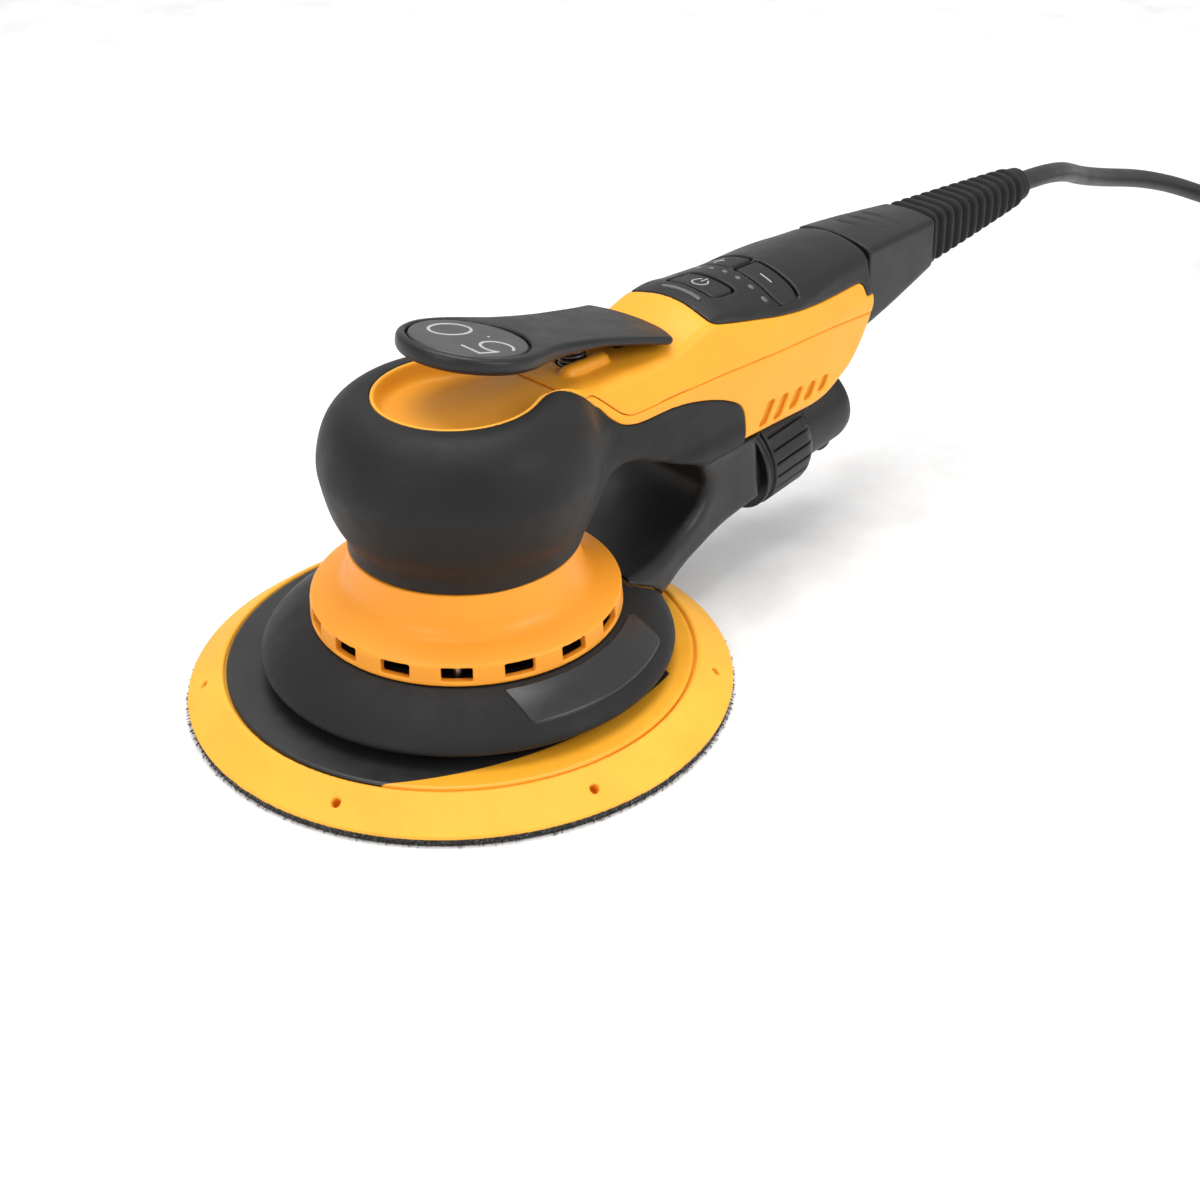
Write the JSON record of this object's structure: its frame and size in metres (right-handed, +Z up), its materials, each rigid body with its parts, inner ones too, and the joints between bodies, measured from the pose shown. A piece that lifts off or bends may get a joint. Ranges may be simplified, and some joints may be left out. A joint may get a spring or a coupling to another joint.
{
  "type": "random orbital sander",
  "caption": "Electric random orbital sander with a round hook-and-loop pad, long grip handle, palm lever, control keys, exhaust outlet and mains lead",
  "frame": {"origin": "motor axis at the working face of the pad", "axes": "+X along the handle towards the mains lead, +Z up along the motor axis"},
  "size_m": [0.5664, 0.1941, 0.1055],
  "materials": {
    "hook_fabric": "matte loop",
    "foam": "satin moulded foam",
    "pad_print": "matte",
    "yellow_plastic": "satin",
    "black_plastic": "satin",
    "black_rubber": "matte",
    "key_rubber": "satin",
    "lens": "clear",
    "cord_rubber": "matte",
    "steel": "machined",
    "spring_steel": "drawn",
    "screw_steel": "zinc plated",
    "lamination": "stacked sheet",
    "copper": "enamelled wire",
    "aluminium": "die cast",
    "magnet": "nickel plated",
    "circuit_board": "solder mask",
    "component": "moulded",
    "fan_plastic": "moulded",
    "plated_brass": "nickel plated"
  },
  "bodies": {
    "housing": {"stator_core": "lamination", "stator_windings": "copper", "motor_can": "aluminium", "upper_bearing": "steel", "lower_bearing": "steel", "bearing_plate": "aluminium", "exhaust_duct": "black_plastic", "dust_shroud": "black_rubber", "air_baffle": "black_plastic", "vent_ring": "yellow_plastic", "shroud_screws": "screw_steel", "head_grip": "black_rubber", "handle_cover": "yellow_plastic", "main_housing": "yellow_plastic", "light_bar": "lens", "speed_leds": "lens", "control_panel": "black_plastic", "cover_screws": "screw_steel", "main_pcb": "circuit_board", "capacitors": "component", "heat_sink": "aluminium", "keypad_pcb": "circuit_board", "key_domes": "steel", "hall_sensor": "component", "lever_pin": "steel", "lever_spring": "spring_steel", "hose_o_ring": "black_rubber", "inlet_socket": "black_plastic", "mains_connector": "black_plastic", "contact_pins": "plated_brass", "strain_relief": "black_rubber", "mains_cord": "cord_rubber", "cord_tie": "black_plastic", "cord_coil": "cord_rubber", "mains_plug": "black_plastic", "plug_pins": "plated_brass"},
    "rotor": {"eccentric_hub": "aluminium", "spindle_bearings": "steel", "counterweight": "steel", "cooling_fan": "fan_plastic", "rotor_shaft": "steel", "rotor_core": "lamination", "rotor_magnets": "magnet"},
    "pad": {"hook_face": "hook_fabric", "pad_foam": "foam", "pad_cover_plate": "pad_print", "pad_hub": "black_plastic", "pad_stud": "steel", "pad_spindle": "steel"},
    "lever": {"lever": "black_plastic", "lever_inlay": "black_plastic", "lever_magnet": "magnet"},
    "power_key": {"power_key": "key_rubber"},
    "plus_key": {"plus_key": "key_rubber"},
    "minus_key": {"minus_key": "key_rubber"},
    "hose": {"hose_tube": "black_plastic", "hose_collar": "black_plastic"}
  },
  "joints": [
    {"name": "rotor_spin", "type": "hinge", "parent": "housing", "child": "rotor", "pos_m": [0, 0, 0.05], "axis": [0, 0, 1], "continuous": true},
    {"name": "pad_spin", "type": "hinge", "parent": "rotor", "child": "pad", "pos_m": [-0.0019, 0.0016, 0.01], "axis": [0, 0, 1], "continuous": true},
    {"name": "lever_press", "type": "hinge", "parent": "housing", "child": "lever", "pos_m": [0.061, 0, 0.081], "axis": [0, -1, 0], "range_deg": [0, 5], "stiffness_Nm_per_rad": 1.5, "springref_deg": -1.72, "deforming": ["lever_spring"]},
    {"name": "power_press", "type": "slide", "parent": "housing", "child": "power_key", "axis": [0, 0, -1], "range_m": [0, 0.0006], "stiffness_N_per_m": 2000, "springref_m": -0.0002},
    {"name": "plus_press", "type": "slide", "parent": "housing", "child": "plus_key", "axis": [0, 0, -1], "range_m": [0, 0.0006], "stiffness_N_per_m": 2000, "springref_m": -0.0002},
    {"name": "minus_press", "type": "slide", "parent": "housing", "child": "minus_key", "axis": [0, 0, -1], "range_m": [0, 0.0006], "stiffness_N_per_m": 2000, "springref_m": -0.0002},
    {"name": "hose_swivel", "type": "hinge", "parent": "housing", "child": "hose", "pos_m": [0.13669, 0, 0.03394], "axis": [0.9905, 0, 0.1374], "range_deg": [-90, 90]}
  ]
}
